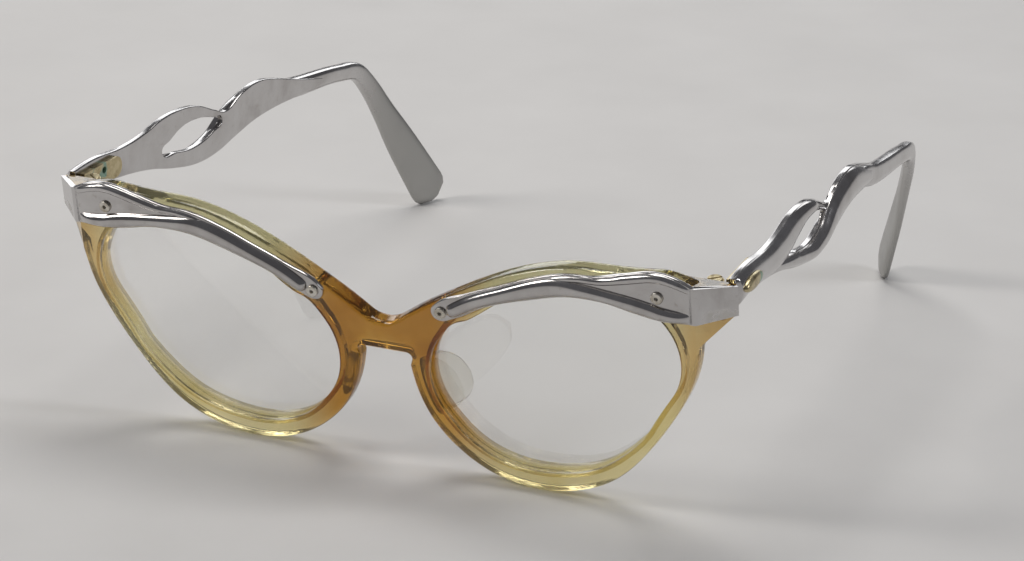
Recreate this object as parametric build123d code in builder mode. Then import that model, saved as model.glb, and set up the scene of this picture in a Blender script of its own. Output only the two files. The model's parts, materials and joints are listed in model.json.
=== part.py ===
"""Cat-eye spectacle frame: acetate front, riveted aluminium brow trims, openwork aluminium temples.

Millimetres, +X to the viewer's right of the front, +Y from the front towards the temple tips, +Z up.
The frame stands open on a table (z = 0) on its two rims and its two temple tips.
"""

import os
from math import cos, radians, sin

from build123d import *

# ---- driving dimensions ---------------------------------------------------
FRONT_LEAN = 8.0  # the front leans forward at the top, degrees
FRONT_Y = -61.0  # outer face of the front at the datum height
FRONT_Z = 31.96  # datum height: level of the inner trim rivets

FRONT_THICK = 3.8  # acetate, front to back
RIM_ROUND = 1.0
GROOVE_DEPTH = 0.8
LENS_THICK = 2.0
LENS_FRONT = 0.9  # lens set back from the front's outer face
LENS_PLAY = 0.05

CREASE_U = 56.9  # where the trim folds back around the end piece
END_DEPTH = 5.1  # front face to the rear face of the end piece
END_HALF = CREASE_U + END_DEPTH  # the fold is a 45 degree mitre
END_TOP = 11.9
END_FALL = 1.0  # the end piece drops towards the hinge
END_LOW = 4.6  # underside of the end piece at its rear face
TOP_ROUND = 1.5  # outer top corner of the front

TRIM_THICK = 0.9
STRAND_THICK = 1.9
STRAND_BEVEL = 0.5
BORDER_THICK = 1.6
BORDER_ROUND = 0.35
BAND_LOW = 5.6
BAND_TOP = 12.3

INNER_RIVET = (11.9, -0.1)
OUTER_RIVET = (50.8, 9.6)
HINGE_PIN = (53.6, 7.3)
RIVET_R = 0.7
RIVET_HEAD_R = 1.05
RIVET_HEAD = 0.45
RIVET_ROUND = 0.2
RIVET_BORE_R = 0.35
RIVET_BORE = 1.2
FIT = 0.03  # radial play of a pin in its hole
POCKET_PLAY = 0.08

AXIS_U = 57.8  # hinge axis, from the middle plane
AXIS_D = 6.75  # hinge axis, behind the front's outer face
KNUCKLE_R = 1.5
PIN_R = 0.7
PIN_FIT = 0.04
SCREW_HEAD_R = 1.3
SCREW_HEAD = 0.45
SCREW_ROUND = 0.15
SCREW_PROUD = 0.3  # screw end below the lowest knuckle
SLOT_WIDE = 0.35
SLOT_DEEP = 0.2
SLOT_TURN = 35.0
HINGE_LOW = 4.2
KNUCKLE_H = 1.9
KNUCKLE_GAP = 0.06
KNUCKLE_CLEAR = 0.1  # round the middle knuckle
PLATE_THICK = 0.9
FRONT_PLATE_U = 54.6  # middle of the front hinge plate
FRONT_PLATE_LONG = 10.8
FRONT_PLATE_ROUND = 0.8

TOE_IN = 2.0  # the temples converge slightly, degrees
TEMPLE_IN = 60.5  # inner face of the temple at its front end
TEMPLE_WEB = 1.2  # flat inner layer
STRAND_LOW = 2.4  # first strand, from the inner face
STRAND_HIGH = 2.9  # the second strand crosses over the first
STOP_GAP = 0.1
STRAND_EDGE = 0.6
TEMPLE_NEAR = (11.7, 6.4)  # top and underside of the temple at its front end

ARM_PLAN = [(AXIS_U, 6.3), (59.4, 6.3), (60.3, 7.0), (60.3, 9.4), (59.5, 9.4), (AXIS_U, 8.2)]
PLATE_BACK = (5.6, 17.6)  # temple hinge plate: from and to, distance back
PLATE_HIGH = (39.4, 43.2)
PLATE_ROUND = 0.49  # share of its height

SHIELD_SPOT = (9.3, 42.0)  # oval cap on the outer face: distance back, height
SHIELD_LONG = 4.1
SHIELD_TALL = 1.5
SHIELD_HIGH = 0.7
SHIELD_ROUND = 0.5
SHIELD_PINS = 2.6  # either side of its middle
SHIELD_PIN_R = 0.6

GROWN_SPANS = 14  # stretches in each curve of a grown outline
BEFORE = 1.0  # cutters start this far in front of what they cut
THROUGH = 10.0  # and reach this far

lean = radians(FRONT_LEAN)
toe = radians(TOE_IN)
UP = Vector(0, -sin(lean), cos(lean))
BACK = Vector(0, cos(lean), sin(lean))
RIGHT = Vector(1, 0, 0)
DATUM = Vector(0, FRONT_Y, FRONT_Z)
ALONG = Vector(-sin(toe), cos(toe), 0)
OUT = Vector(cos(toe), sin(toe), 0)
TEMPLE_DATUM = Vector(TEMPLE_IN + END_DEPTH * sin(toe), FRONT_Y, 0)


def spot(u, v, d):
    """Point u to the side, v up the front and d behind its outer face."""
    return DATUM + RIGHT * u + UP * v + BACK * d


def face_plane(d=0.0):
    """Plane of the front, d behind its outer face, facing the viewer."""
    return Plane(origin=spot(0, 0, d), x_dir=RIGHT, z_dir=BACK * -1)


def plan_plane(v=0.0):
    """Plane across the front at height v: x to the side, y depth."""
    return Plane(origin=spot(0, v, 0), x_dir=RIGHT, z_dir=UP)


def side_plane(u=0.0):
    """Plane along the side of the front: x depth, y height v."""
    return Plane(origin=spot(u, 0, 0), x_dir=BACK, z_dir=RIGHT)


def temple_plane(out=0.0):
    """Plane of the right temple, out from its inner face: x back, y up."""
    return Plane(origin=TEMPLE_DATUM + OUT * out, x_dir=ALONG, z_dir=OUT)


# ---- outlines of the front, right half -------------------------------------
BRIDGE_TOP = (0, -4.7)
BRIDGE_UNDER = (0, -10.1)
TOP_EDGE = [(4.2, -2.9), (8.6, 0.1), (13.5, 3.0), (20, 6.6), (28, 10.0), (36, 11.8), (43, 12.1)]
TOP_EDGE += [(50, 12.7)]
TOP_END = (CREASE_U, 11.7)
RIM_START = (CREASE_U, 4.5)
RIM_EDGE = [(57.2, 0), (55.9, -6.5), (52.6, -13.4), (47.6, -21), (41, -28), (33.6, -31.5)]
RIM_EDGE += [(26.5, -32.4)]
RIM_NASAL = [(19.5, -31.2), (12.4, -27.0), (7.9, -21.8), (5.4, -15.8), (4.7, -12.2)]
BRIDGE_CORNER = (5.4, -10.1)
BRIDGE_ROUND = 0.9

# end piece seen from above (side, depth), from the side (depth, height) and from the front
END_PLAN = [(46.5, 0), (CREASE_U, 0), (END_HALF, END_DEPTH), (48.4, END_DEPTH), (46.5, 3.2)]
END_SIDE = [(-1, -4), (-1, END_TOP), (0, END_TOP), (END_DEPTH + 1, END_TOP - END_FALL)]
END_SIDE += [(END_DEPTH + 1, END_LOW), (3, -4)]
END_FACE = [(40, 13), (64, 13), (64, 7.2), (61.2, 4.6), (57.0, 0.6), (56.4, -2.5), (50, -2.5), (44, 9)]

OPENING_NASAL = [(10.4, -6.2), (8.4, -12.2), (10.6, -20.0)]
OPENING_LOW = [(16.4, -26.0), (24.4, -28.7), (32, -28.2), (40.2, -24.9), (47.4, -17.8)]
OPENING_OUTER = [(52.4, -9.2), (54.0, -1.2), (51.3, 4.4)]
OPENING_TOP = [(45.5, 7.2), (38, 7.9), (30, 6.6), (22, 2.9), (15.8, -1.5)]

TRIM_TOP = [(17, 4.3), (23, 6.9), (29, 9.4), (34.5, 11.0), (40, 11.5), (45, 12.8), (50.2, 14.0)]
TRIM_NOSE = [(11.2, -1.7), (10.1, -0.4), (10.5, 0.9)]
TRIM_LOW = [(51.5, 5.3), (46.5, 6.1), (41.5, 7.1), (35, 6.8), (28, 5.0), (20, 2.2), (14.5, -0.8)]

# rounded main strand, from the inner rivet round the outer one
STRAND_NOSE = [(11.9, 1.5), (10.9, 0.4), (12.0, -0.5)]
STRAND_LOWER = [(14.5, 0.5), (20, 3.6), (28, 6.9), (35, 8.3), (41, 8.8), (46, 8.2)]
STRAND_EYE = [(51.0, 8.1), (52.6, 9.7), (51.0, 11.3)]
STRAND_UPPER = [(48, 11.1), (44, 10.6), (39.5, 10.9), (34.5, 10.6), (29, 9.1), (23, 6.7), (17, 4.1)]
# raised border along the top of the leaf
BORDER_UPPER = [(33, 10.3), (37, 11.1), (41, 11.5), (45.4, 12.8), (50.2, 13.8), (CREASE_U, 12.1)]
BORDER_LOWER = [(CREASE_U, 10.9), (50.2, 12.4), (45.8, 11.5), (41, 10.2), (33, 9.2)]
# cut along the top of the band's side, which falls with the end piece (depth, height)
BAND_CUT = [(-1, BAND_TOP), (-1, 14), (8, 14), (8, BAND_TOP - 1.5 * END_FALL)]

# ---- outlines of the right temple: distance back, height --------------------
TEMPLE_TOP = [(10, 44.4), (20, 43.6), (27, 43.9), (33, 44.8), (39, 44.7), (45, 43.6), (51, 41.0)]
TEMPLE_TOP += [(55, 39.6)]
TEMPLE_CREST = [(55, 39.6), (61, 41.3), (67, 41.8), (73, 40.6), (79, 38.7), (85, 37.2)]
TEMPLE_BOTTOM = [(85, 33.8), (79, 34.5), (72, 34.8), (65, 34.6), (58, 33.6), (51, 32.5), (44, 32.6)]
TEMPLE_BOTTOM += [(36, 34.3)]
TEMPLE_FRONT_LOW = [(28, 36.6), (18, 38.4), (10, 39.1)]
FIRST_LOW = [(29.5, 37.3), (26, 37.0), (18, 38.4), (10, 39.1)]  # underside of the first strand
LOOP_LOW = [(37.5, 37.0), (44, 36.1), (50, 37.0)]
LOOP_TIP = (53.4, 38.5)
LOOP_TOP = [(50.4, 39.7), (45, 41.1), (39.5, 41.2), (35.2, 39.9)]
LOOP_FRONT = (32.4, 38.6)

# second strand: upper and lower border, from the loop to the plain bar
CROSS_UPPER = [(31.5, 37.5), (38, 36.5), (44, 35.8), (50, 36.9), (55.5, 39.8), (61, 41.1)]
CROSS_UPPER += [(67, 41.6), (72.5, 40.5), (75.5, 39.2)]
CROSS_LOWER = [(75.5, 39.2), (76, 38.2), (70, 36.7), (63, 36.0), (57, 34.6), (51, 33.1)]
CROSS_LOWER += [(44, 33.1), (38, 34.5), (31.5, 36.2)]

# tail: distance back, height, outward, width, thickness, turn of the blade in degrees
TAIL = [
    (80, 36.3, 1.30, 4.0, 2.6, 0),
    (100, 33.5, 1.25, 3.4, 2.6, 2),
    (106.6, 31.8, 0.95, 3.7, 2.5, 8),
    (110.4, 27.6, 0.1, 4.2, 2.4, 13),
    (113.4, 21.8, -1.4, 5.1, 2.1, 18),
    (116.4, 15.4, -3.2, 6.8, 1.8, 22),
]
SECTION_ROUND = 0.3  # share of the thickness
PADDLE_END = (123.2, 0.87, -7.64)  # flat paddle: middle of its lower end
PADDLE_WIDE = 9.0
PADDLE_EDGE = 0.4
TIP_ROUND = 3.4

# nose pad sections: depth behind the front, centre, half width, half height, lean in degrees
NOSE_PAD = [(0, 7.5, -16.8, 1.5, 5.2, 16), (3.2, 8.9, -17.0, 1.6, 6.0, 20)]
NOSE_PAD += [(6.2, 11.0, -17.4, 1.0, 4.6, 24)]


def mirrored(part, label):
    copy = part.mirror(Plane.YZ)
    copy.label = label
    return copy


def ring(first_arc, low, second_arc, top):
    """Counter-clockwise outline: two end arcs joined by a lower and an upper spline."""
    near = ThreePointArc(*first_arc)
    far = ThreePointArc(*second_arc)
    Spline(near @ 1, *low, far @ 0, tangents=[near % 1, far % 0])
    Spline(far @ 1, *top, near @ 0, tangents=[far % 1, near % 0])


def grown(outline, amount):
    """The same outline moved outwards by amount, arc for arc and spline for spline."""
    for edge in outline.edges():
        points = []
        for share in range(GROWN_SPANS + 1):
            outward = edge.tangent_at(share / GROWN_SPANS).rotate(Axis.Z, -90)
            points.append(edge.position_at(share / GROWN_SPANS) + outward * amount)
        if edge.geom_type == GeomType.CIRCLE:
            ThreePointArc(points[0], points[GROWN_SPANS // 2], points[-1])
        else:
            Spline(*points, tangents=[edge % 0, edge % 1])


# ---- acetate front ----------------------------------------------------------
with BuildSketch() as front_outline:
    with BuildLine():
        top = Spline(BRIDGE_TOP, *TOP_EDGE, TOP_END, tangents=[(1, 0), (1, -0.25)])
        drop = Line(top @ 1, RIM_START)
        rim = Spline(drop @ 1, *RIM_EDGE, *RIM_NASAL)
        corner = Line(rim @ 1, BRIDGE_CORNER)
        under = Line(corner @ 1, BRIDGE_UNDER)
        Line(under @ 1, BRIDGE_TOP)
    make_face()
    fillet(front_outline.vertices().group_by(Axis.Y)[-1], TOP_ROUND)
    fillet(front_outline.vertices().sort_by_distance(BRIDGE_CORNER)[0], BRIDGE_ROUND)
    mirror(about=Plane.YZ)

with BuildLine() as opening_line:
    ring(OPENING_NASAL, OPENING_LOW, OPENING_OUTER, OPENING_TOP)

with BuildSketch() as opening:
    add(opening_line.line)
    make_face()

with BuildSketch() as lens_outline:
    with BuildLine():
        grown(opening_line, GROOVE_DEPTH)
    make_face()

with BuildSketch() as groove_outline:
    with BuildLine():
        grown(opening_line, GROOVE_DEPTH + LENS_PLAY)
    make_face()

# Solid block behind the trim that carries the hinge.
with BuildPart() as end_piece:
    with BuildSketch(plan_plane()):
        with BuildLine():
            Polyline(*END_PLAN, close=True)
        make_face()
    extrude(amount=2 * THROUGH, both=True)
    with BuildSketch(side_plane(END_HALF)):
        with BuildLine():
            Polyline(*END_SIDE, close=True)
        make_face()
    extrude(amount=2 * THROUGH, both=True, mode=Mode.INTERSECT)
    with BuildSketch(face_plane(-BEFORE)):
        with BuildLine():
            Polyline(*END_FACE, close=True)
        make_face()
    extrude(amount=-THROUGH, mode=Mode.INTERSECT)
    with BuildSketch(face_plane(-BEFORE)):
        add(opening.sketch)
    extrude(amount=-THROUGH, mode=Mode.SUBTRACT)

with BuildPart() as front_frame:
    with BuildSketch(face_plane()):
        add(front_outline.sketch)
    extrude(amount=-FRONT_THICK)
    rim_edges = front_frame.faces().filter_by(face_plane(), tolerance=1e-4).edges()
    fillet(rim_edges, RIM_ROUND)
    with BuildSketch(face_plane(-BEFORE)):
        add(opening.sketch)
        mirror(opening.sketch, about=Plane.YZ)
    extrude(amount=-THROUGH, mode=Mode.SUBTRACT)
    add(end_piece.part)
    add(end_piece.part.mirror(Plane.YZ))
    with BuildSketch(face_plane(LENS_FRONT - LENS_PLAY)):
        add(groove_outline.sketch)
        mirror(groove_outline.sketch, about=Plane.YZ)
    extrude(amount=-(LENS_THICK + 2 * LENS_PLAY), mode=Mode.SUBTRACT)
    with BuildSketch(face_plane(-BEFORE)):
        for side in (-1, 1):
            for u, v in (INNER_RIVET, OUTER_RIVET, HINGE_PIN):
                with Locations((side * u, v)):
                    Circle(RIVET_R + FIT)
    extrude(amount=-THROUGH, mode=Mode.SUBTRACT)

# ---- lenses -----------------------------------------------------------------
with BuildPart() as lens_right:
    with BuildSketch(face_plane(LENS_FRONT)):
        add(lens_outline.sketch)
    extrude(amount=-LENS_THICK)

# ---- brow trims ---------------------------------------------------------------
with BuildLine() as strand_line:
    ring(STRAND_NOSE, STRAND_LOWER, STRAND_EYE, STRAND_UPPER)

with BuildSketch() as strand_outline:
    add(strand_line.line)
    make_face()

with BuildSketch() as strand_crest:
    with BuildLine():
        grown(strand_line, -STRAND_BEVEL)
    make_face()

with BuildPart() as strand:
    with BuildSketch(face_plane()):
        add(strand_outline.sketch)
    extrude(amount=STRAND_THICK - STRAND_BEVEL)
    with BuildSketch(face_plane(STRAND_BEVEL - STRAND_THICK)):
        add(strand_outline.sketch)
    with BuildSketch(face_plane(-STRAND_THICK)):
        add(strand_crest.sketch)
    loft()

with BuildPart() as border:
    with BuildSketch(face_plane()):
        with BuildLine():
            roof = Spline(*BORDER_UPPER)
            fold = Line(roof @ 1, BORDER_LOWER[0])
            eaves = Spline(*BORDER_LOWER)
            Line(eaves @ 1, roof @ 0)
        make_face()
    extrude(amount=BORDER_THICK)
    border_face = border.faces().sort_by(Axis(DATUM, BACK * -1))[-1]
    fillet(border_face.edges().filter_by(GeomType.BSPLINE), BORDER_ROUND)

with BuildPart() as brow_trim_right:
    with BuildSketch(face_plane()):
        with BuildLine():
            low = Spline((CREASE_U, BAND_LOW), *TRIM_LOW, *TRIM_NOSE, *TRIM_TOP, (CREASE_U, BAND_TOP))
            Line(low @ 1, low @ 0)
        make_face()
    extrude(amount=TRIM_THICK)
    add(strand.part)
    add(border.part)
    with BuildSketch(plan_plane(BAND_LOW)):
        with BuildLine():
            turn = TRIM_THICK * (2**0.5 - 1)
            skin = TRIM_THICK / 2**0.5
            Polyline(
                (CREASE_U - 1, 0),
                (CREASE_U, 0),
                (END_HALF, END_DEPTH),
                (END_HALF + skin, END_DEPTH - skin),
                (CREASE_U + turn, -TRIM_THICK),
                (CREASE_U - 1, -TRIM_THICK),
                close=True,
            )
        make_face()
    extrude(amount=BAND_TOP - BAND_LOW)
    with BuildSketch(side_plane(CREASE_U)):
        with BuildLine():
            Polyline(*BAND_CUT, close=True)
        make_face()
    extrude(amount=THROUGH, mode=Mode.SUBTRACT)
    with BuildSketch(face_plane(-TRIM_THICK)):
        for u, v in (INNER_RIVET, OUTER_RIVET):
            with Locations((u, v)):
                Circle(RIVET_HEAD_R + POCKET_PLAY)
    extrude(amount=THROUGH, mode=Mode.SUBTRACT)
    with BuildSketch(face_plane(-THROUGH / 2)):
        for u, v in (INNER_RIVET, OUTER_RIVET, HINGE_PIN):
            with Locations((u, v)):
                Circle(RIVET_R + FIT)
    extrude(amount=-THROUGH, mode=Mode.SUBTRACT)


def rivet(spot_uv, head_d, tail_d, bored=True):
    """Tubular rivet along the depth of the front, head towards the viewer."""
    with BuildPart() as body:
        with BuildSketch(face_plane(head_d)):
            with Locations(spot_uv):
                Circle(RIVET_HEAD_R)
        extrude(amount=RIVET_HEAD)
        with BuildSketch(face_plane(head_d)):
            with Locations(spot_uv):
                Circle(RIVET_R)
        extrude(amount=head_d - tail_d)
        with BuildSketch(face_plane(tail_d)):
            with Locations(spot_uv):
                Circle(RIVET_HEAD_R)
        extrude(amount=-RIVET_HEAD)
        fillet(body.edges().filter_by(GeomType.CIRCLE).sort_by(Axis(DATUM, BACK))[0], RIVET_ROUND)
        if bored:
            with BuildSketch(face_plane(head_d - RIVET_HEAD)):
                with Locations(spot_uv):
                    Circle(RIVET_BORE_R)
            extrude(amount=-RIVET_BORE, mode=Mode.SUBTRACT)
    return body.part


hinge_back = END_DEPTH + PLATE_THICK
with BuildPart() as trim_rivets_inner:
    add(rivet(INNER_RIVET, -TRIM_THICK, FRONT_THICK))
    add(trim_rivets_inner.part.mirror(Plane.YZ))

with BuildPart() as trim_rivets_outer:
    add(rivet(OUTER_RIVET, -TRIM_THICK, hinge_back))
    add(trim_rivets_outer.part.mirror(Plane.YZ))

# Plain pins: flush in the trim, headed behind the hinge plate.
with BuildPart() as hinge_pins:
    with BuildSketch(face_plane(-TRIM_THICK)):
        with Locations(HINGE_PIN):
            Circle(RIVET_R)
    extrude(amount=-TRIM_THICK - hinge_back)
    with BuildSketch(face_plane(hinge_back)):
        with Locations(HINGE_PIN):
            Circle(RIVET_HEAD_R)
    extrude(amount=-RIVET_HEAD)
    add(hinge_pins.part.mirror(Plane.YZ))

# ---- front half of the hinge ----------------------------------------------------
step = KNUCKLE_H + KNUCKLE_GAP
hinge_tall = 3 * step - KNUCKLE_GAP
with BuildPart() as front_hinge_right:
    with BuildSketch(face_plane(END_DEPTH)):
        with Locations((FRONT_PLATE_U, HINGE_LOW + hinge_tall / 2)):
            RectangleRounded(FRONT_PLATE_LONG, hinge_tall, FRONT_PLATE_ROUND)
    extrude(amount=-PLATE_THICK)
    for level in (0, 2):
        with BuildSketch(plan_plane(HINGE_LOW + level * step)):
            with Locations((AXIS_U, AXIS_D)):
                Circle(KNUCKLE_R)
        extrude(amount=KNUCKLE_H)
    with BuildSketch(plan_plane(HINGE_LOW + step - KNUCKLE_GAP)):
        with Locations((AXIS_U, AXIS_D)):
            Circle(KNUCKLE_R + KNUCKLE_CLEAR)
    extrude(amount=KNUCKLE_H + 2 * KNUCKLE_GAP, mode=Mode.SUBTRACT)
    with BuildSketch(plan_plane()):
        with Locations((AXIS_U, AXIS_D)):
            Circle(PIN_R + PIN_FIT)
    extrude(amount=2 * THROUGH, mode=Mode.SUBTRACT)
    with BuildSketch(face_plane()):
        for u, v in (OUTER_RIVET, HINGE_PIN):
            with Locations((u, v)):
                Circle(RIVET_R + FIT)
    extrude(amount=-THROUGH, mode=Mode.SUBTRACT)

hinge_top = HINGE_LOW + hinge_tall
with BuildPart() as hinge_screws:
    with BuildSketch(plan_plane(hinge_top)):
        with Locations((AXIS_U, AXIS_D)):
            Circle(SCREW_HEAD_R)
    extrude(amount=SCREW_HEAD)
    with BuildSketch(plan_plane(hinge_top)):
        with Locations((AXIS_U, AXIS_D)):
            Circle(PIN_R)
    extrude(amount=HINGE_LOW - hinge_top - SCREW_PROUD)
    fillet(hinge_screws.edges().filter_by(GeomType.CIRCLE).sort_by(Axis(DATUM, UP))[-1], SCREW_ROUND)
    with BuildSketch(plan_plane(hinge_top + SCREW_HEAD)):
        with Locations((AXIS_U, AXIS_D)):
            Rectangle(3 * SCREW_HEAD_R, SLOT_WIDE, rotation=SLOT_TURN)
    extrude(amount=-SLOT_DEEP, mode=Mode.SUBTRACT)
    add(hinge_screws.part.mirror(Plane.YZ))

# ---- nose pads ------------------------------------------------------------------
with BuildPart() as nose_pad_right:
    for behind, u, v, half_wide, half_tall, turn in NOSE_PAD:
        with BuildSketch(face_plane(FRONT_THICK + behind)):
            with Locations(Location((u, v), turn)):
                Ellipse(half_wide, half_tall)
    loft()

# ---- temples ----------------------------------------------------------------------
front_top = spot(0, TEMPLE_NEAR[0], END_DEPTH + STOP_GAP)
front_low = spot(0, TEMPLE_NEAR[1], END_DEPTH + STOP_GAP)
NEAR_TOP = (front_top.Y - FRONT_Y, front_top.Z)
NEAR_LOW = (front_low.Y - FRONT_Y, front_low.Z)

with BuildSketch() as loop_hole:
    with BuildLine():
        Spline(LOOP_FRONT, *LOOP_LOW, LOOP_TIP)
        Spline(LOOP_TIP, *LOOP_TOP, LOOP_FRONT)
    make_face()

with BuildSketch() as blade_outline:
    with BuildLine():
        Spline(NEAR_TOP, *TEMPLE_TOP)
        crest = Spline(*TEMPLE_CREST)
        Line(crest @ 1, TEMPLE_BOTTOM[0])
        belly = Spline(*TEMPLE_BOTTOM, *TEMPLE_FRONT_LOW, NEAR_LOW)
        Line(belly @ 1, NEAR_TOP)
    make_face()
    add(loop_hole.sketch, mode=Mode.SUBTRACT)

with BuildSketch() as first_strand:
    with BuildLine():
        brow = Spline(NEAR_TOP, *TEMPLE_TOP)
        Line(brow @ 1, LOOP_TIP)
        Spline(LOOP_TIP, *LOOP_TOP, LOOP_FRONT)
        low_front = Spline(LOOP_FRONT, *FIRST_LOW, NEAR_LOW)
        Line(low_front @ 1, NEAR_TOP)
    make_face()

with BuildSketch() as second_strand:
    with BuildLine():
        upper = Spline(*CROSS_UPPER)
        lower = Spline(*CROSS_LOWER)
        Line(lower @ 1, upper @ 0)
    make_face()


def temple_spot(back, height, out):
    return TEMPLE_DATUM + ALONG * back + Vector(0, 0, 1) * height + OUT * out


with BuildLine() as tail_path:
    bar = Line(temple_spot(*TAIL[0][:3]), temple_spot(*TAIL[1][:3]))
    bend = [temple_spot(*row[:3]) for row in TAIL[1:]]
    Spline(*bend, tangents=[bar % 1, temple_spot(*PADDLE_END) - bend[-1]])

with BuildPart() as strands_right:
    with BuildSketch(temple_plane()):
        add(first_strand.sketch)
    extrude(amount=STRAND_LOW)
    chamfer(strands_right.faces().sort_by(Axis(TEMPLE_DATUM, OUT))[-1].edges(), STRAND_EDGE)

with BuildPart() as crossing_right:
    with BuildSketch(temple_plane()):
        add(second_strand.sketch)
    extrude(amount=STRAND_HIGH)
    chamfer(crossing_right.faces().sort_by(Axis(TEMPLE_DATUM, OUT))[-1].edges(), STRAND_EDGE)

with BuildPart() as tail_right:
    for rows, path in zip((TAIL[:2], TAIL[1:]), tail_path.edges()):
        for back, height, out, width, thick, swing in rows:
            centre = temple_spot(back, height, out)
            along = path.tangent_at(path.param_at_point(centre))
            end = Plane(origin=centre, x_dir=OUT.rotate(Axis.Z, swing), z_dir=along)
            with BuildSketch(end):
                RectangleRounded(thick, width, thick * SECTION_ROUND)
        loft()

# Flat paddle that rests behind the ear: local x runs down it, z through it.
paddle_long = (temple_spot(*PADDLE_END) - end.origin).length
with BuildPart() as paddle_right:
    with BuildSketch(Plane(origin=end.origin, x_dir=end.z_dir, z_dir=end.x_dir)) as paddle_outline:
        with BuildLine():
            far = [(paddle_long, -PADDLE_WIDE / 2), (paddle_long, PADDLE_WIDE / 2)]
            Polyline((0, -width / 2), *far, (0, width / 2), close=True)
        make_face()
        fillet(paddle_outline.vertices().group_by(Axis.X)[-1], TIP_ROUND)
    extrude(amount=thick / 2, both=True)
    paddle_faces = paddle_right.faces().sort_by(Axis(end.origin, end.x_dir))
    rims = paddle_faces[0].edges() + paddle_faces[-1].edges()
    fillet(rims.sort_by(Axis(end.origin, end.z_dir))[2:], PADDLE_EDGE)

with BuildPart() as temple_right:
    with BuildSketch(temple_plane()):
        add(blade_outline.sketch)
    extrude(amount=TEMPLE_WEB)
    add(strands_right.part)
    add(crossing_right.part)
    add(tail_right.part)
    add(paddle_right.part)
    with BuildSketch(temple_plane(-BEFORE)):
        for shift in (-SHIELD_PINS, SHIELD_PINS):
            with Locations((SHIELD_SPOT[0] + shift, SHIELD_SPOT[1])):
                Circle(SHIELD_PIN_R + FIT)
    extrude(amount=THROUGH / 2, mode=Mode.SUBTRACT)

# Oval cap whose two pins hold the hinge to the temple.
with BuildPart() as temple_shield_right:
    with BuildSketch(temple_plane(STRAND_LOW)):
        with Locations(SHIELD_SPOT):
            Ellipse(SHIELD_LONG, SHIELD_TALL)
    extrude(amount=SHIELD_HIGH)
    fillet(temple_shield_right.faces().sort_by(Axis(TEMPLE_DATUM, OUT))[-1].edges(), SHIELD_ROUND)
    with BuildSketch(temple_plane(STRAND_LOW)):
        for shift in (-SHIELD_PINS, SHIELD_PINS):
            with Locations((SHIELD_SPOT[0] + shift, SHIELD_SPOT[1])):
                Circle(SHIELD_PIN_R)
    extrude(amount=-STRAND_LOW - PLATE_THICK)

# ---- temple half of the hinge -------------------------------------------------------
with BuildPart() as temple_hinge_right:
    with BuildSketch(temple_plane(-PLATE_THICK)):
        plate_long = PLATE_BACK[1] - PLATE_BACK[0]
        plate_tall = PLATE_HIGH[1] - PLATE_HIGH[0]
        plate_z = sum(PLATE_HIGH) / 2
        with Locations((PLATE_BACK[1] - plate_long / 2, plate_z)):
            RectangleRounded(plate_long, plate_tall, plate_tall * PLATE_ROUND)
        with Locations((PLATE_BACK[0] + plate_long / 4, plate_z)):
            Rectangle(plate_long / 2, plate_tall)
        for shift in (-SHIELD_PINS, SHIELD_PINS):
            with Locations((SHIELD_SPOT[0] + shift, SHIELD_SPOT[1])):
                Circle(SHIELD_PIN_R + FIT, mode=Mode.SUBTRACT)
    extrude(amount=PLATE_THICK)
    with BuildSketch(plan_plane(HINGE_LOW + step)):
        with Locations((AXIS_U, AXIS_D)):
            Circle(KNUCKLE_R)
        with BuildLine():
            Polyline(*ARM_PLAN, close=True)
        make_face()
        with Locations((AXIS_U, AXIS_D)):
            Circle(PIN_R + PIN_FIT, mode=Mode.SUBTRACT)
    extrude(amount=KNUCKLE_H)

# ---- one file per piece ---------------------------------------------------------------
os.makedirs("parts", exist_ok=True)

front_frame.part.label = "front_frame"
export_step(front_frame.part, "parts/front_frame.step")
trim_rivets_inner.part.label = "trim_rivets_inner"
export_step(trim_rivets_inner.part, "parts/trim_rivets_inner.step")
trim_rivets_outer.part.label = "trim_rivets_outer"
export_step(trim_rivets_outer.part, "parts/trim_rivets_outer.step")
hinge_pins.part.label = "hinge_pins"
export_step(hinge_pins.part, "parts/hinge_pins.step")
hinge_screws.part.label = "hinge_screws"
export_step(hinge_screws.part, "parts/hinge_screws.step")

PAIRS = {
    "lens": lens_right,
    "nose_pad": nose_pad_right,
    "brow_trim": brow_trim_right,
    "front_hinge": front_hinge_right,
    "temple_hinge": temple_hinge_right,
    "temple": temple_right,
    "temple_shield": temple_shield_right,
}
for name, piece in PAIRS.items():
    piece.part.label = f"{name}_right"
    export_step(piece.part, f"parts/{name}_right.step")
    export_step(mirrored(piece.part, f"{name}_left"), f"parts/{name}_left.step")
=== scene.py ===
"""Cat-eye combination eyeglasses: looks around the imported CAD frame."""

import json
from math import copysign, cos, pi, radians, sin

import bmesh
import bpy
from mathutils import Matrix, Vector


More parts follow.
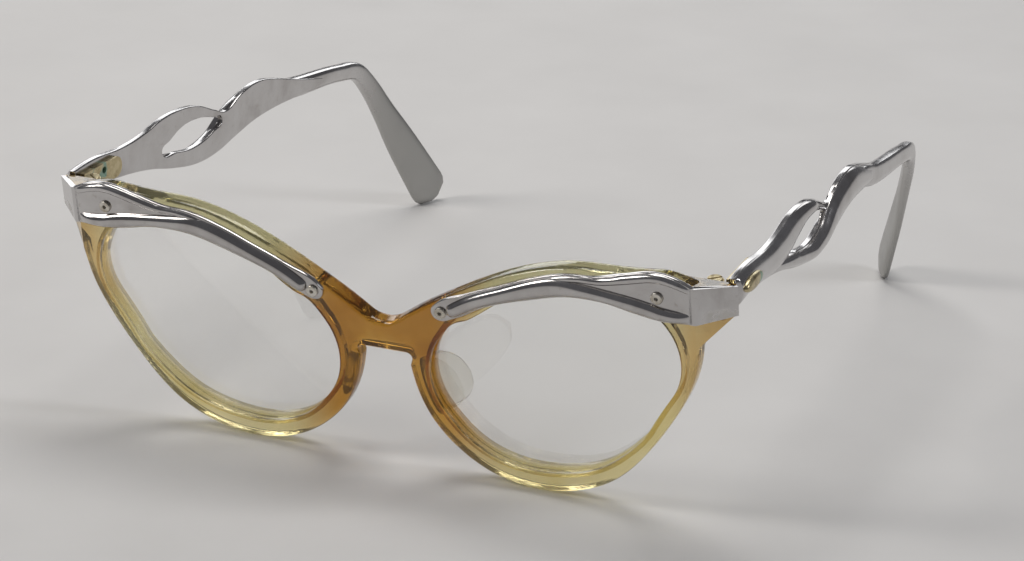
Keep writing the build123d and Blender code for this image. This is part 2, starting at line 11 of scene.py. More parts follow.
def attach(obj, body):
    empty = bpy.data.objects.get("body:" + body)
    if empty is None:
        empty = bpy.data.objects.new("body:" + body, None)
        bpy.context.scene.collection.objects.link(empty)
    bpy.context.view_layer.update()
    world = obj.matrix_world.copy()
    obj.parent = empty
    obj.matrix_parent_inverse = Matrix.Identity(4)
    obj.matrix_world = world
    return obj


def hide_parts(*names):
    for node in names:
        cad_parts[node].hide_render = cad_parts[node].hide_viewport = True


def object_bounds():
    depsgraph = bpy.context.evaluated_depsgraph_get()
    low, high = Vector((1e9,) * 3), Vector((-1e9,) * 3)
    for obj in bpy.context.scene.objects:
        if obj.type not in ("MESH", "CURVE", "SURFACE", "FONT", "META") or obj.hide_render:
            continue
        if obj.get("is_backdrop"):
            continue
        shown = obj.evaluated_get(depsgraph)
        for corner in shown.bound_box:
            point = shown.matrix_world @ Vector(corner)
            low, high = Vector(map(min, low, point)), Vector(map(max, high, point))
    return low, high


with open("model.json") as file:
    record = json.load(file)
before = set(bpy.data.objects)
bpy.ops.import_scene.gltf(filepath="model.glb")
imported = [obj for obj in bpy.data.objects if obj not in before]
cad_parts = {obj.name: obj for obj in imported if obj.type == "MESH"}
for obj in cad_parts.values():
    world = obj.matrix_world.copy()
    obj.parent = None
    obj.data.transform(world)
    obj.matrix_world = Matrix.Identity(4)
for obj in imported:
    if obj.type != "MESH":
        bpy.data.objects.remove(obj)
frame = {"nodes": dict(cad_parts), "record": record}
cad_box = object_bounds()

MM = 0.001
record = frame["record"]
nodes = frame["nodes"]

# ---- the two working planes, in millimetres -----------------------------------
# u to the side, v up the front, d behind its outer face; back, height, out on a temple.
FRONT_THICK = 3.8  # acetate, front to back
END_DEPTH = 5.1  # front face to the rear face of the end piece
CREASE_U = 56.9  # where the trim folds back around the end piece
TRIM_THICK = 0.9
AXIS_UVD = (57.8, 7.1, 6.75)  # the hinge axis point that the record states
FACE_BACK, FACE_HIGH = 60.0, 37.5  # the temple mount that the record states

fold = next(j for j in record["behaviour"]["joints"] if j["name"] == "fold_right")
RIGHT = Vector((1, 0, 0))
UP = Vector(fold["axis"]).normalized()
BACK = UP.cross(RIGHT)
DATUM = Vector(fold["pos_m"]) / MM - RIGHT * AXIS_UVD[0] - UP * AXIS_UVD[1] - BACK * AXIS_UVD[2]

inner = next(m for m in record["mounts"] if m["name"] == "temple_inner_right")
OUT = -Vector(inner["axis"]).normalized()
ALONG = Vector((-OUT.y, OUT.x, 0))
TEMPLE_DATUM = Vector(inner["pos_m"]) / MM - ALONG * FACE_BACK - Vector((0, 0, FACE_HIGH))


def on_front(u, v, d):
    return (DATUM + RIGHT * u + UP * v + BACK * d) * MM


def on_temple(back, height, out):
    return (TEMPLE_DATUM + ALONG * back + Vector((0, 0, height)) + OUT * out) * MM


def flipped(point, side):
    return Vector((point.x * side, point.y, point.z))


# ---- outlines -------------------------------------------------------------------
TRIM_TOP = [
    (10.5, 0.9), (17, 4.3), (23, 6.9), (29, 9.4), (34.5, 11.0), (40, 11.5), (45, 12.8),
    (50.2, 14.0), (53.6, 13.6),
]
TRIM_LOW = [
    (51.5, 5.3), (46.5, 6.1), (41.5, 7.1), (35, 6.8), (28, 5.0), (20, 2.2), (14.5, -0.8),
    (11.2, -1.7),
]
TRIM_NOSE = (10.05, -0.4)
BAND_LOW, BAND_TOP = 5.6, 12.3
# lower and upper line of the main strand and of the raised border above it
STRAND_LOWER = [
    (12.9, 0.1), (14.6, -0.5), (20, 2.35), (28, 5.1), (35, 6.9), (41.5, 7.05), (46.5, 6.1),
    (51.5, 5.4), (56.6, 5.75),
]
STRAND_UPPER = [
    (12.7, 1.2), (17, 3.95), (23, 6.6), (29, 9.1), (33.5, 10.2), (38, 9.9), (42, 9.5), (46.5, 9.0),
    (49.4, 8.5), (51.5, 8.0), (54.5, 7.7), (56.6, 7.5),
]
BORDER_LOWER = [
    (29, 8.3), (33, 9.3), (37, 9.9), (41, 10.1), (45.6, 11.1), (50.2, 12.2), (53.5, 11.9),
    (56.7, 10.8),
]
BORDER_UPPER = [
    (29, 8.9), (33.5, 10.5), (37, 11.15), (41, 11.5), (45, 12.7), (50.2, 13.9), (53.5, 13.5),
    (56.7, 12.2),
]

TEMPLE_TOP = [
    (10, 44.4), (20, 43.6), (27, 43.9), (33, 44.8), (39, 44.7), (45, 43.6), (51, 41.0), (55, 39.6),
]
TEMPLE_CREST = [(61, 41.3), (67, 41.8), (73, 40.6), (79, 38.7), (85, 36.9), (92, 35.1)]
TEMPLE_BOTTOM = [
    (92, 34.3), (85, 34.0), (79, 34.5), (72, 34.8), (65, 34.6), (58, 33.6), (51, 32.5), (44, 32.6),
    (36, 34.3), (28, 36.6), (18, 38.4), (10, 39.1),
]
LOOP_HOLE = [
    (32.4, 38.6), (37.5, 37.0), (44, 36.1), (50, 37.0), (53.4, 38.5), (50.4, 39.7), (45, 41.1),
    (39.5, 41.2), (35.2, 39.9),
]
# rows of back, height, out, width, thickness and degrees turned about the vertical
TAIL = [
    (80, 36.3, 1.30, 4.0, 2.6, 0),
    (100, 33.5, 1.25, 3.4, 2.6, 2),
    (106.6, 31.8, 0.95, 3.7, 2.5, 8),
    (110.4, 27.6, 0.1, 4.2, 2.4, 13),
    (113.4, 21.8, -1.4, 5.1, 2.1, 18),
    (116.4, 15.4, -3.2, 6.8, 1.8, 22),
    (119.8, 8.14, -5.42, 8.0, 1.8, 22),
    (123.2, 0.92, -7.63, 9.0, 1.75, 22),
]

# ---- material helpers --------------------------------------------------------------


def new_material(name):
    """A node material with its shader; returns the material, a node maker and a linker."""
    mat = bpy.data.materials.new(name)
    mat.use_nodes = True
    tree = mat.node_tree
    shader = tree.nodes["Principled BSDF"]

    def node(kind, **values):
        made = tree.nodes.new(kind)
        for key, value in values.items():
            if key in made.inputs.keys():
                made.inputs[key].default_value = value
            else:
                setattr(made, key, value)
        return made

    return mat, shader, node, tree.links.new


def noise(node, link, coords, scale, detail=3.0, rough=0.5, distort=0.0):
    made = node("ShaderNodeTexNoise", Scale=scale, Detail=detail, Roughness=rough, Distortion=distort)
    link(coords, made.inputs["Vector"])
    return made.outputs["Fac"]


def ramp(node, link, source, stops):
    """Colour ramp from (position, colour) pairs."""
    made = node("ShaderNodeValToRGB")
    elements = made.color_ramp.elements
    while len(elements) < len(stops):
        elements.new(0.5)
    for element, (position, colour) in zip(elements, stops):
        element.position = position
        element.color = (*colour, 1)
    link(source, made.inputs["Fac"])
    return made.outputs["Color"]


def spread(node, link, source, low, high, out_low, out_high):
    """Smooth map of a value from low..high to out_low..out_high."""
    made = node("ShaderNodeMapRange", interpolation_type="SMOOTHSTEP")
    link(source, made.inputs["Value"])
    for key, value in (("From Min", low), ("From Max", high), ("To Min", out_low), ("To Max", out_high)):
        made.inputs[key].default_value = value
    return made.outputs["Result"]


def combined(node, link, operation, first, second):
    made = node("ShaderNodeMath", operation=operation)
    link(first, made.inputs[0])
    link(second, made.inputs[1])
    return made.outputs[0]


def blend_colours(node, link, factor, first, second):
    made = node("ShaderNodeMix", data_type="RGBA")
    colour_inputs = [s for s in made.inputs if s.type == "RGBA"]
    link(factor, made.inputs[0])
    for socket, value in zip(colour_inputs, (first, second)):
        if isinstance(value, tuple):
            socket.default_value = (*value, 1)
        else:
            link(value, socket)
    return next(s for s in made.outputs if s.type == "RGBA")


def bump(node, link, shader, height, strength, distance):
    made = node("ShaderNodeBump", Strength=strength, Distance=distance)
    link(height, made.inputs["Height"])
    link(made.outputs["Normal"], shader.inputs["Normal"])


def object_coords(node):
    return node("ShaderNodeTexCoord").outputs["Object"]


def split(node, link, coords):
    made = node("ShaderNodeSeparateXYZ")
    link(coords, made.inputs[0])
    return made.outputs


def acetate_material():
    mat, shader, node, link = new_material("acetate")
    coords = object_coords(node)
    axes = split(node, link, coords)
    swirl = noise(node, link, coords, 55, 2, 0.5, 1.2)
    stops = [(0.3, (0.42, 0.17, 0.015)), (0.55, (0.60, 0.30, 0.04)), (0.75, (0.72, 0.42, 0.08))]
    amber = ramp(node, link, swirl, stops)
    olive = ramp(node, link, swirl, [(0.3, (0.62, 0.58, 0.30)), (0.7, (0.76, 0.72, 0.44))])
    straw = ramp(node, link, swirl, [(0.3, (0.86, 0.72, 0.30)), (0.7, (0.93, 0.84, 0.50))])
    sideways = node("ShaderNodeMath", operation="ABSOLUTE")
    link(axes["X"], sideways.inputs[0])
    top = spread(node, link, axes["Z"], 0.030, 0.040, 0, 1)
    bridge = spread(node, link, sideways.outputs[0], 0.022, 0.009, 0, 1)
    ends = spread(node, link, sideways.outputs[0], 0.050, 0.057, 0, 0.6)
    colour = blend_colours(node, link, top, straw, olive)
    colour = blend_colours(node, link, ends, colour, amber)
    colour = blend_colours(node, link, bridge, colour, amber)
    link(colour, shader.inputs["Base Color"])
    haze = noise(node, link, coords, 320, 4, 0.6)
    link(spread(node, link, haze, 0.35, 0.75, 0.04, 0.16), shader.inputs["Roughness"])
    shader.inputs["IOR"].default_value = 1.49
    shader.inputs["Transmission Weight"].default_value = 0.93
    shader.inputs["Coat Weight"].default_value = 0.08
    shader.inputs["Coat Roughness"].default_value = 0.04
    bump(node, link, shader, haze, 0.03, 0.0002)
    return mat


def aluminium_material():
    """Polished aluminium with fine scratches and grime.

    It is satin on the drop of the temples, and rubbed matte low on the folded sides of the trims."""
    mat, shader, node, link = new_material("aluminium")
    coords = object_coords(node)
    axes = split(node, link, coords)
    cloud = noise(node, link, coords, 120, 5, 0.6, 0.4)
    speck = noise(node, link, coords, 900, 4, 0.65)
    stretch = node("ShaderNodeMapping")
    stretch.inputs["Scale"].default_value = (2600, 140, 2600)
    link(coords, stretch.inputs["Vector"])
    scratch = noise(node, link, stretch.outputs["Vector"], 1.0, 2, 0.5)
    stops = [(0.25, (0.42, 0.40, 0.39)), (0.5, (0.56, 0.545, 0.54)), (0.8, (0.66, 0.65, 0.65))]
    metal = ramp(node, link, cloud, stops)
    dirt = spread(node, link, speck, 0.60, 0.74, 0, 0.5)
    colour = blend_colours(node, link, dirt, metal, (0.36, 0.33, 0.29))
    satin = spread(node, link, axes["Y"], 0.040, 0.055, 0, 1)
    colour = blend_colours(node, link, satin, colour, (0.42, 0.415, 0.40))
    sideways = node("ShaderNodeMath", operation="ABSOLUTE")
    link(axes["X"], sideways.inputs[0])
    rubbed = spread(node, link, noise(node, link, coords, 620, 5, 0.65), 0.42, 0.54, 0, 1)
    for source, low, high in (
        (sideways.outputs[0], 0.0580, 0.0592),
        (axes["Y"], -0.0567, -0.0576),
        (axes["Z"], 0.0402, 0.0388),
    ):
        rubbed = combined(node, link, "MULTIPLY", rubbed, spread(node, link, source, low, high, 0, 1))
    colour = blend_colours(node, link, rubbed, colour, (0.70, 0.68, 0.65))
    link(colour, shader.inputs["Base Color"])
    shader.inputs["Metallic"].default_value = 1.0
    rough = spread(node, link, cloud, 0.3, 0.8, 0.12, 0.26)
    for dull, amount in ((satin, 0.16), (rubbed, 0.40)):
        rough = combined(node, link, "ADD", rough, spread(node, link, dull, 0, 1, 0, amount))
    link(rough, shader.inputs["Roughness"])
    bump(node, link, shader, scratch, 0.10, 0.00004)
    return mat


def rivet_material():
    mat, shader, node, link = new_material("rivet_metal")
    coords = object_coords(node)
    cloud = noise(node, link, coords, 700, 4, 0.6)
    stops = [(0.3, (0.42, 0.38, 0.31)), (0.6, (0.70, 0.67, 0.61)), (0.8, (0.82, 0.80, 0.76))]
    colour = ramp(node, link, cloud, stops)
    link(colour, shader.inputs["Base Color"])
    shader.inputs["Metallic"].default_value = 1.0
    link(spread(node, link, cloud, 0.3, 0.8, 0.22, 0.42), shader.inputs["Roughness"])
    bump(node, link, shader, cloud, 0.15, 0.00004)
    return mat


def brass_material():
    """Tarnished nickel silver, olive-gold, with green corrosion in patches."""
    mat, shader, node, link = new_material("hinge_brass")
    coords = object_coords(node)
    cloud = noise(node, link, coords, 420, 5, 0.65, 0.5)
    patch = noise(node, link, coords, 260, 3, 0.55)
    stops = [(0.3, (0.34, 0.27, 0.14)), (0.55, (0.60, 0.51, 0.31)), (0.8, (0.76, 0.68, 0.47))]
    metal = ramp(node, link, cloud, stops)
    green = spread(node, link, patch, 0.60, 0.68, 0, 0.8)
    link(blend_colours(node, link, green, metal, (0.20, 0.40, 0.33)), shader.inputs["Base Color"])
    link(spread(node, link, green, 0, 0.8, 1.0, 0.35), shader.inputs["Metallic"])
    link(spread(node, link, cloud, 0.3, 0.8, 0.24, 0.45), shader.inputs["Roughness"])
    bump(node, link, shader, cloud, 0.25, 0.00005)
    return mat


def lens_material():
    mat, shader, node, link = new_material("lens")
    coords = object_coords(node)
    smear = noise(node, link, coords, 90, 4, 0.6, 0.8)
    link(spread(node, link, smear, 0.45, 0.85, 0.0, 0.05), shader.inputs["Roughness"])
    colour = ramp(node, link, smear, [(0.3, (0.97, 0.98, 0.95)), (0.8, (0.93, 0.95, 0.92))])
    link(colour, shader.inputs["Base Color"])
    shader.inputs["IOR"].default_value = 1.5
    shader.inputs["Transmission Weight"].default_value = 1.0
    shader.inputs["Alpha"].default_value = 0.24
    return mat


def pad_material():
    mat, shader, node, link = new_material("clear_acetate")
    coords = object_coords(node)
    haze = noise(node, link, coords, 240, 4, 0.6)
    colour = ramp(node, link, haze, [(0.3, (0.90, 0.88, 0.80)), (0.8, (0.97, 0.96, 0.92))])
    link(colour, shader.inputs["Base Color"])
    link(spread(node, link, haze, 0.3, 0.8, 0.05, 0.2), shader.inputs["Roughness"])
    shader.inputs["IOR"].default_value = 1.49
    shader.inputs["Transmission Weight"].default_value = 0.9
    return mat


def floor_material():
    mat, shader, node, link = new_material("floor")
    coords = object_coords(node)
    grain = noise(node, link, coords, 30, 4, 0.5)
    colour = ramp(node, link, grain, [(0.3, (0.66, 0.65, 0.64)), (0.7, (0.70, 0.69, 0.68))])
    link(colour, shader.inputs["Base Color"])
    shader.inputs["Roughness"].default_value = 0.75
    return mat


MATERIALS = {
    "acetate": acetate_material(),
    "aluminium": aluminium_material(),
    "rivet_metal": rivet_material(),
    "hinge_brass": brass_material(),
    "lens": lens_material(),
    "clear_acetate": pad_material(),
}

# ---- mesh helpers -------------------------------------------------------------------
SPAN_STEPS = 12  # points on a smooth curve from one given point to the next
RIDGE_STEEP = 1.3  # steepest rise of a strand over half its width
RIDGE_FULL = 0.85  # under 1 makes a dome fuller than an ellipse
FADE_LEAST = 0.02  # keeps the end of a ridge from closing to a line


def add_piece(name, mesh, body, slot, replaced):
    """Visible piece that rides on a body in place of the named CAD nodes."""
    piece = bpy.data.objects.new(name, mesh)
    bpy.context.collection.objects.link(piece)
    mesh.materials.clear()
    mesh.materials.append(MATERIALS[slot])
    mesh.shade_smooth()
    smooth = piece.modifiers.new("weighted", "WEIGHTED_NORMAL")
    smooth.keep_sharp = True
    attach(piece, body)
    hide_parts(*replaced)


def slab(loops, low, high, rounding, place, corners):
    """Mesh between two levels with rounded edges: the first loop is the outline and the rest are holes.

    place turns (x, y, level) into a point; corners are outline points that stay sharp."""
    curve = bpy.data.curves.new("outline", "CURVE")
    curve.dimensions = "2D"
    curve.fill_mode = "BOTH"
    curve.resolution_u = 9
    curve.extrude = (high - low) / 2 - rounding
    curve.bevel_depth = rounding
    curve.bevel_resolution = 3
    curve.offset = -rounding
    for points in loops:
        spline = curve.splines.new("BEZIER")
        spline.bezier_points.add(len(points) - 1)
        spline.use_cyclic_u = True
        for knot, point in zip(spline.bezier_points, points):
            knot.co = (*point, 0)
            kind = "VECTOR" if point in corners else "AUTO"
            knot.handle_left_type = knot.handle_right_type = kind
    holder = bpy.data.objects.new("outline", curve)
    bpy.context.collection.objects.link(holder)
    graph = bpy.context.evaluated_depsgraph_get()
    mesh = bpy.data.meshes.new_from_object(holder.evaluated_get(graph))
    bpy.data.objects.remove(holder)
    middle = (low + high) / 2
    for vertex in mesh.vertices:
        vertex.co = place(vertex.co.x, vertex.co.y, vertex.co.z + middle)
    return mesh


def smooth_line(points, count):
    """Evenly spaced points along a smooth curve through the given ones."""
    knots = [Vector(p) for p in (points[0], *points, points[-1])]
    dense = []
    for before, start, stop, after in zip(knots, knots[1:], knots[2:], knots[3:]):
        for step in range(SPAN_STEPS):
            f = step / SPAN_STEPS
            square = 2 * before - 5 * start + 4 * stop - after
            cube = 3 * start - before - 3 * stop + after
            dense.append(start + 0.5 * ((stop - before) * f + square * f**2 + cube * f**3))
    dense.append(knots[-1])
    reach = [0.0]
    for a, b in zip(dense, dense[1:]):
        reach.append(reach[-1] + (b - a).length)
    line = []
    k = 0
    for i in range(count + 1):
        goal = reach[-1] * i / count
        while k < len(reach) - 2 and reach[k + 1] < goal:
            k += 1
        line.append(dense[k].lerp(dense[k + 1], (goal - reach[k]) / (reach[k + 1] - reach[k])))
    return line


def ridge(lower, upper, base, top, place, fade, count=72, ring=16):
    """Domed strand between two border lines, dying away over a share of its length at each end."""
    sections = []
    for i, (low, high) in enumerate(zip(smooth_line(lower, count), smooth_line(upper, count))):
        rise = min(top - base, RIDGE_STEEP * (high - low).length / 2)
        for share, reach in ((i / count, fade[0]), (1 - i / count, fade[1])):
            rise *= max(1 - (1 - min(share / reach, 1)) ** 2, FADE_LEAST) ** 0.5
        section = []
        for k in range(ring + 1):
            angle = pi * k / ring
            across = low.lerp(high, (1 - cos(angle)) / 2)
            section.append(place(across.x, across.y, base + rise * max(sin(angle), 0) ** RIDGE_FULL))
        sections.append(section)
    return skinned(sections)


def joined(name, meshes):
    """One clean mesh from several, with shared points merged and faces turned outwards."""
    whole = bmesh.new()
    for mesh in meshes:
        whole.from_mesh(mesh)
    bmesh.ops.remove_doubles(whole, verts=whole.verts, dist=1e-7)
    bmesh.ops.recalc_face_normals(whole, faces=whole.faces)
    out = bpy.data.meshes.new(name)
    whole.to_mesh(out)
    whole.free()
    for edge in out.edges:
        edge.use_edge_sharp = False
    return out


def skinned(sections):
    """Closed mesh through rings of points, each ring the same length."""
    work = bmesh.new()
    rings = [[work.verts.new(p) for p in section] for section in sections]
    count = len(rings[0])
    for first, second in zip(rings, rings[1:]):
        for k in range(count):
            work.faces.new((first[k], first[(k + 1) % count], second[(k + 1) % count], second[k]))
    work.faces.new(rings[0][::-1])
    work.faces.new(rings[-1])
    mesh = bpy.data.meshes.new("skin")
    work.to_mesh(mesh)
    work.free()
    return mesh


def sharp_by_angle(mesh, degrees):
    """Edges that turn more than this stay crisp; the rest are shaded smooth."""
    work = bmesh.new()
    work.from_mesh(mesh)
    limit = radians(degrees)
    for edge in work.edges:
        edge.smooth = not (len(edge.link_faces) == 2 and edge.calc_face_angle() > limit)
    work.to_mesh(mesh)
    work.free()


# ---- nose pads ------------------------------------------------------------------------
PAD_RINGS, PAD_RING_POINTS = 12, 28
PAD_REACH = 6.1  # from the back of the rim
PAD_FOOT = (7.6, -16.8)
PAD_LEAST_LONG, PAD_LEAST_THICK = 0.35, 0.25  # half sizes left at the crown
PAD_HALF_LONG, PAD_HALF_THICK = 5.2, 0.95  # added to them at the foot
PAD_SPLAY = 3.4  # the crown stands this much further out than the foot
PAD_LEAN, PAD_TWIST = 16, 8  # degrees at the foot, and how many more at the crown
PAD_CROWN = 2.4  # power that makes the outline a half moon


def nose_pad(side):
    """Half-moon fin cemented to the back of the rim, splayed outwards as it rises."""
    rings = []
    for k in range(PAD_RINGS + 1):
        t = k / PAD_RINGS
        rise = (1 - t**PAD_CROWN) ** 0.5
        half_long = PAD_LEAST_LONG + PAD_HALF_LONG * rise
        half_thick = PAD_LEAST_THICK + (PAD_HALF_THICK - 0.35 * t) * rise**0.6
        middle = (PAD_FOOT[0] + PAD_SPLAY * t, PAD_FOOT[1] - 0.6 * t)
        turn = radians(PAD_LEAN + PAD_TWIST * t)
        ring = []
        for i in range(PAD_RING_POINTS):
            a = 2 * pi * i / PAD_RING_POINTS
            x, y = half_thick * cos(a), half_long * sin(a)
            u = middle[0] + x * cos(turn) - y * sin(turn)
            v = middle[1] + x * sin(turn) + y * cos(turn)
            ring.append(flipped(on_front(u, v, FRONT_THICK + PAD_REACH * t), side))
        rings.append(ring)
    return skinned(rings)


for side, word in ((1, "right"), (-1, "left")):
    mesh = joined("nose_pad", [nose_pad(side)])
    add_piece(f"nose_pad_{word}_fin", mesh, "front", "clear_acetate", [f"nose_pad_{word}"])

# ---- brow trims -------------------------------------------------------------------------
PLATE_ROUND = 0.22
STRAND_TOP = 1.9
BORDER_TOP = 1.6
RIDGE_BASE = 0.5  # level inside the plate where a ridge starts
BAND_FALL = 0.3  # drop of the band's top for each millimetre of its depth
BAND_LAP = 0.6  # the folded band starts this far inside the plate
FOLD_WIDE = 0.37  # the fold reaches this far past the crease on the trim's outer face
SEAT_GAP = 0.02  # between the trim and the acetate


def brow_trim(side):
    def place(u, v, d):
        return flipped(on_front(u, v, d), side)

    def raised(u, v, height):
        return place(u, v, -height)

    corners = [(CREASE_U, BAND_LOW), (CREASE_U, BAND_TOP)]
    outline = [TRIM_NOSE, *TRIM_TOP, corners[1], corners[0], *TRIM_LOW]
    plate = slab([outline], -TRIM_THICK, -SEAT_GAP, PLATE_ROUND, place, corners)
    strand = ridge(STRAND_LOWER, STRAND_UPPER, RIDGE_BASE, STRAND_TOP, raised, (0.03, 0.08))
    border = ridge(BORDER_LOWER, BORDER_UPPER, RIDGE_BASE, BORDER_TOP, raised, (0.25, 0.12))
    skin = TRIM_THICK / 2**0.5
    plan = [
        (CREASE_U - BAND_LAP, -SEAT_GAP),
        (CREASE_U, -SEAT_GAP),
        (CREASE_U + END_DEPTH + SEAT_GAP, END_DEPTH),
        (CREASE_U + END_DEPTH + skin, END_DEPTH - skin),
        (CREASE_U + FOLD_WIDE, -TRIM_THICK),
        (CREASE_U - BAND_LAP, -TRIM_THICK),
    ]
    levels = ((BAND_LOW, 0), (BAND_TOP, BAND_FALL))
    band = skinned([[place(u, v - fall * max(d, 0), d) for u, d in plan] for v, fall in levels])
    return joined("brow_trim", [plate, strand, border, band])


for side, word in ((1, "right"), (-1, "left")):
    mesh = brow_trim(side)
    sharp_by_angle(mesh, 40)
    add_piece(f"brow_trim_{word}_shell", mesh, "front", "aluminium", [f"brow_trim_{word}"])

# ---- temples -------------------------------------------------------------------------------
WEB, WEB_ROUND = 1.2, 0.25  # thickness of the sheet under the strands, rounding of its edges
LOW_TOP, HIGH_TOP = 2.4, 2.8  # crest levels of the first and of the second strand
NEAR_TOP, NEAR_LOW = (3.9, 44.1), (4.2, 39.0)
FIRST_UPPER = [NEAR_TOP, *TEMPLE_TOP[:-1], (54.6, 38.9)]
FIRST_LOWER = [
    NEAR_LOW, (10, 39.3), (18, 38.6), (25, 37.8), (29.5, 38.1), (32.4, 38.8), (35.2, 39.95),
    (39.5, 41.25), (45, 41.15), (50.4, 39.75), (53.6, 38.4),
]
SECOND_UPPER = [
    (25, 38.2), (30, 37.9), (34, 37.6), (38, 36.75), (44, 35.95), (50, 36.9), (55.5, 39.8),
    (61, 41.15), (67, 41.65), (72.5, 40.55), (77, 38.9), (84, 36.6),
]
SECOND_LOWER = [
    (25, 37.7), (28, 36.9), (33, 35.4), (38, 34.0), (44, 32.8), (51, 32.75), (57, 34.1), (63, 35.2),
    (70, 35.6), (77, 35.6), (84, 35.5),
]
TAIL_ROOT = [(66, 38.9, 1.0, 3.0, 2.0, 0), (74, 37.9, 1.2, 3.9, 2.5, 0)]
SPINE = TAIL_ROOT + TAIL
TIP_ROUND, TIP_ROUND_LEAST = 3.4, 0.2  # the corner arc, and its least value, at the last ring
TIP_THIN, TIP_THIN_REACH = 0.8, 0.4  # share of the thickness left within this reach of the end
THICK_POWER, WIDE_POWER = 0.55, 0.8  # 1 would be an ellipse, less is squarer


def tail_sections(count=64, ring=20):
    """Superellipse sections along a smooth curve through the rows of SPINE."""
    def at(t):
        k = min(int(t), len(SPINE) - 2)
        f = t - k
        rows = [SPINE[max(k - 1, 0)], SPINE[k], SPINE[k + 1], SPINE[min(k + 2, len(SPINE) - 1)]]
        spans = [max((Vector(b[:2]) - Vector(a[:2])).length, 1e-6) for a, b in zip(rows, rows[1:])]
        out = []
        for i in range(6):
            p = [row[i] for row in rows]
            slopes = [(b - a) / span for a, b, span in zip(p, p[1:], spans)]
            in_slope = (slopes[1] + slopes[0]) / 2 if k > 0 else slopes[1]
            out_slope = (slopes[1] + slopes[2]) / 2 if k < len(SPINE) - 2 else slopes[1]
            blend = 3 * f**2 - 2 * f**3
            start_push = in_slope * spans[1] * (f**3 - 2 * f**2 + f)
            stop_push = out_slope * spans[1] * (f**3 - f**2)
            out.append(p[1] * (1 - blend) + p[2] * blend + start_push + stop_push)
        return out

    last = len(SPINE) - 1
    steps = [k / count * last for k in range(count + 1)]
    stations = [at(t) for t in steps]
    centres = [Vector(on_temple(*s[:3])) for s in stations]
    reach = [0.0]
    for a, b in zip(centres, centres[1:]):
        reach.append(reach[-1] + (b - a).length)
    sections = []
    for k, (s, centre) in enumerate(zip(stations, centres)):
        along = (centres[min(k + 1, count)] - centres[max(k - 1, 0)]).normalized()
        flat = Matrix.Rotation(radians(s[5]), 3, "Z") @ OUT
        flat = (flat - along * flat.dot(along)).normalized()
        across = along.cross(flat)
        left = (reach[-1] - reach[k]) / MM
        round_off = TIP_ROUND - max(TIP_ROUND**2 - max(TIP_ROUND - left, 0) ** 2, TIP_ROUND_LEAST**2) ** 0.5
        half_wide, half_thick = s[3] / 2 - round_off, s[4] / 2 * (1 if left > TIP_THIN_REACH else TIP_THIN)
        section = []
        for i in range(ring):
            a = 2 * pi * i / ring
            c, d = cos(a), sin(a)
            x = copysign(abs(c) ** THICK_POWER, c) * half_thick
            y = copysign(abs(d) ** WIDE_POWER, d) * half_wide
            section.append(centre + (flat * x + across * y) * MM)
        sections.append(section)
    return sections


def temple(side):
    def place(back, height, out):
        return flipped(on_temple(back, height, out), side)

    outline = [NEAR_TOP, *TEMPLE_TOP, *TEMPLE_CREST, *TEMPLE_BOTTOM, NEAR_LOW]
    corners = [NEAR_TOP, NEAR_LOW, TEMPLE_CREST[-1], TEMPLE_BOTTOM[0]]
    web = slab([outline, LOOP_HOLE[::-1]], 0, WEB, WEB_ROUND, place, corners)
    first = ridge(FIRST_LOWER, FIRST_UPPER, WEB / 2, LOW_TOP, place, (0.02, 0.02))
    second = ridge(SECOND_LOWER, SECOND_UPPER, WEB / 2, HIGH_TOP, place, (0.10, 0.12))
    tail = skinned([[flipped(p, side) for p in ring] for ring in tail_sections()])
    return joined("temple", [web, first, second, tail])


for side, word in ((1, "right"), (-1, "left")):
    mesh = temple(side)
    sharp_by_angle(mesh, 45)
    add_piece(f"temple_{word}_blade", mesh, f"temple_{word}", "aluminium", [f"temple_{word}"])

# ---- shields ------------------------------------------------------------------------------------
SHIELD_SPOT = (9.3, 42.0)
SHIELD_HALF = (4.1, 1.25)
SHIELD_HIGH = 0.74
SHIELD_POINTS = 36
# share of the height, share of the width
SHIELD_CROWN = ((-0.6, 0.98), (0, 1), (0.41, 0.97), (0.71, 0.86), (0.91, 0.66), (0.99, 0.4), (1, 0.12))


def shield(side):
    """Oval cap with a domed crown."""
    rings = []
    for level, share in SHIELD_CROWN:
        ring = []
        for i in range(SHIELD_POINTS):
            a = 2 * pi * i / SHIELD_POINTS
            back = SHIELD_SPOT[0] + SHIELD_HALF[0] * (1 - 0.7 * (1 - share)) * cos(a)
            height = SHIELD_SPOT[1] + SHIELD_HALF[1] * share * sin(a)
            ring.append(flipped(on_temple(back, height, LOW_TOP + level * SHIELD_HIGH), side))
        rings.append(ring)
    return skinned(rings)


for side, word in ((1, "right"), (-1, "left")):
    mesh = joined("shield", [shield(side)])
    add_piece(f"temple_shield_{word}_cap", mesh, f"temple_{word}", "hinge_brass", [f"temple_shield_{word}"])

# ---- CAD pieces that keep their shape ---------------------------------------------------------
SLOTS = {row["node"]: row["material_slot"] for row in record["subparts"]}
WELD_GAP = 0.002  # points of the tessellation nearer than this, in millimetres, are one


def eased(piece, width, segments, degrees):
    """Small rounding, in millimetres, on edges that turn more than the angle."""
    weld = piece.modifiers.new("weld", "WELD")
    weld.merge_threshold = WELD_GAP * MM
    edge = piece.modifiers.new("edge", "BEVEL")
    edge.width = width * MM
    edge.segments = segments
    edge.limit_method = "ANGLE"
    edge.angle_limit = radians(degrees)


for name, piece in nodes.items():
    piece.data.materials.clear()
    piece.data.materials.append(MATERIALS[SLOTS[name]])
    if SLOTS[name] in ("hinge_brass", "rivet_metal"):
        eased(piece, 0.08, 2, 35)
eased(nodes["front_frame"], 0.3, 3, 40)

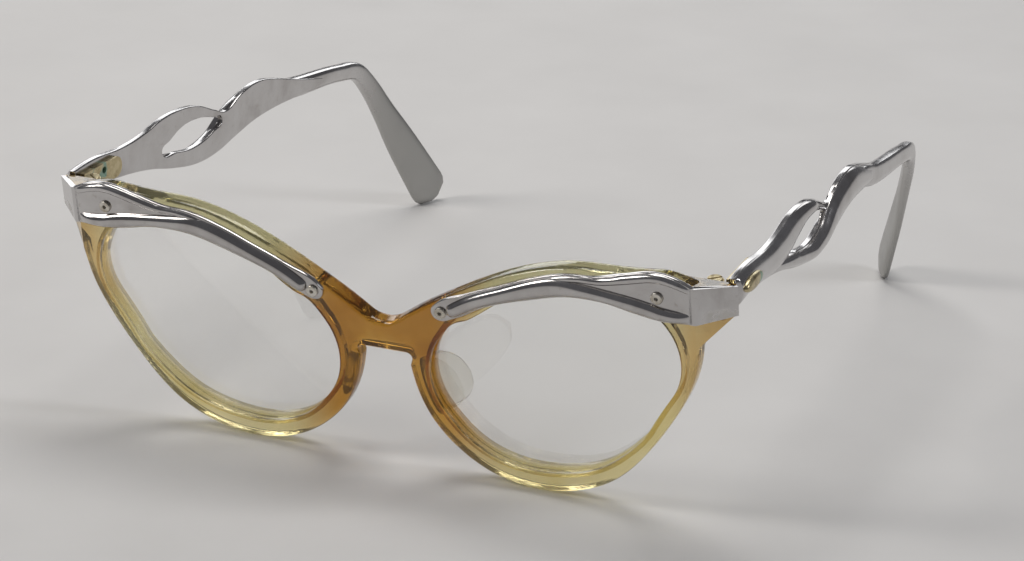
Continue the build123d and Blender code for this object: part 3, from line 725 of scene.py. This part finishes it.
# ---- floor, light, camera ------------------------------------------------------------------------
floor_mesh = bpy.data.meshes.new("floor")
FLOOR_HALF = 3.0
floor_corners = [(x * FLOOR_HALF, y * FLOOR_HALF, 0) for x, y in ((-1, -1), (1, -1), (1, 1), (-1, 1))]
floor_mesh.from_pydata(floor_corners, [], [(0, 1, 2, 3)])
floor_mesh.materials.append(floor_material())
floor = bpy.data.objects.new("floor", floor_mesh)
bpy.context.collection.objects.link(floor)
floor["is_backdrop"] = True


def area_light(name, place, target, size, power, colour=(1, 1, 1)):
    light = bpy.data.lights.new(name, "AREA")
    light.shape = "RECTANGLE"
    light.size, light.size_y = size
    light.energy = power
    light.color = colour
    lamp = bpy.data.objects.new(name, light)
    lamp.location = place
    lamp.rotation_euler = (Vector(target) - Vector(place)).to_track_quat("-Z", "Y").to_euler()
    lamp.visible_camera = False
    bpy.context.collection.objects.link(lamp)


area_light("overhead", (-0.10, 0.20, 0.70), (0, 0, 0.03), (0.45, 0.30), 2.2, (1.0, 0.98, 0.95))
area_light("back", (-0.36, 0.74, 0.34), (0, 0, 0.03), (0.90, 0.30), 1.7, (0.98, 0.99, 1.0))
area_light("key", (-0.50, -0.30, 0.50), (0, -0.03, 0.03), (0.16, 0.30), 1.5, (1.0, 0.97, 0.93))
area_light("side", (0.60, 0.10, 0.40), (0.03, 0, 0.03), (0.12, 0.40), 1.0, (0.95, 0.97, 1.0))

world = bpy.data.worlds.new("studio")
bpy.context.scene.world = world
world.use_nodes = True
world.node_tree.nodes["Background"].inputs["Color"].default_value = (0.30, 0.30, 0.32, 1)
world.node_tree.nodes["Background"].inputs["Strength"].default_value = 0.35

# The camera stands in front, to the right and above, and looks down at the middle of the frame.
LENS_MM, SENSOR_MM = 116.0, 36.0
CAMERA_PLACE = Vector((0.2297, -0.5166, 0.2397))
CAMERA_LOOK = Vector((-0.38117, 0.84621, -0.37235))
camera_data = bpy.data.cameras.new("camera")
camera_data.lens = LENS_MM
camera_data.sensor_width = SENSOR_MM
camera_data.clip_start = 0.01
camera = bpy.data.objects.new("camera", camera_data)
camera.location = CAMERA_PLACE
camera.rotation_euler = CAMERA_LOOK.to_track_quat("-Z", "Y").to_euler()
bpy.context.collection.objects.link(camera)
bpy.context.scene.camera = camera
bpy.context.scene.view_settings.view_transform = "Standard"

seen_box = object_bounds()
boxes = {"cad": cad_box, "visual": seen_box}
{name: [list(corner) for corner in box] for name, box in boxes.items()}
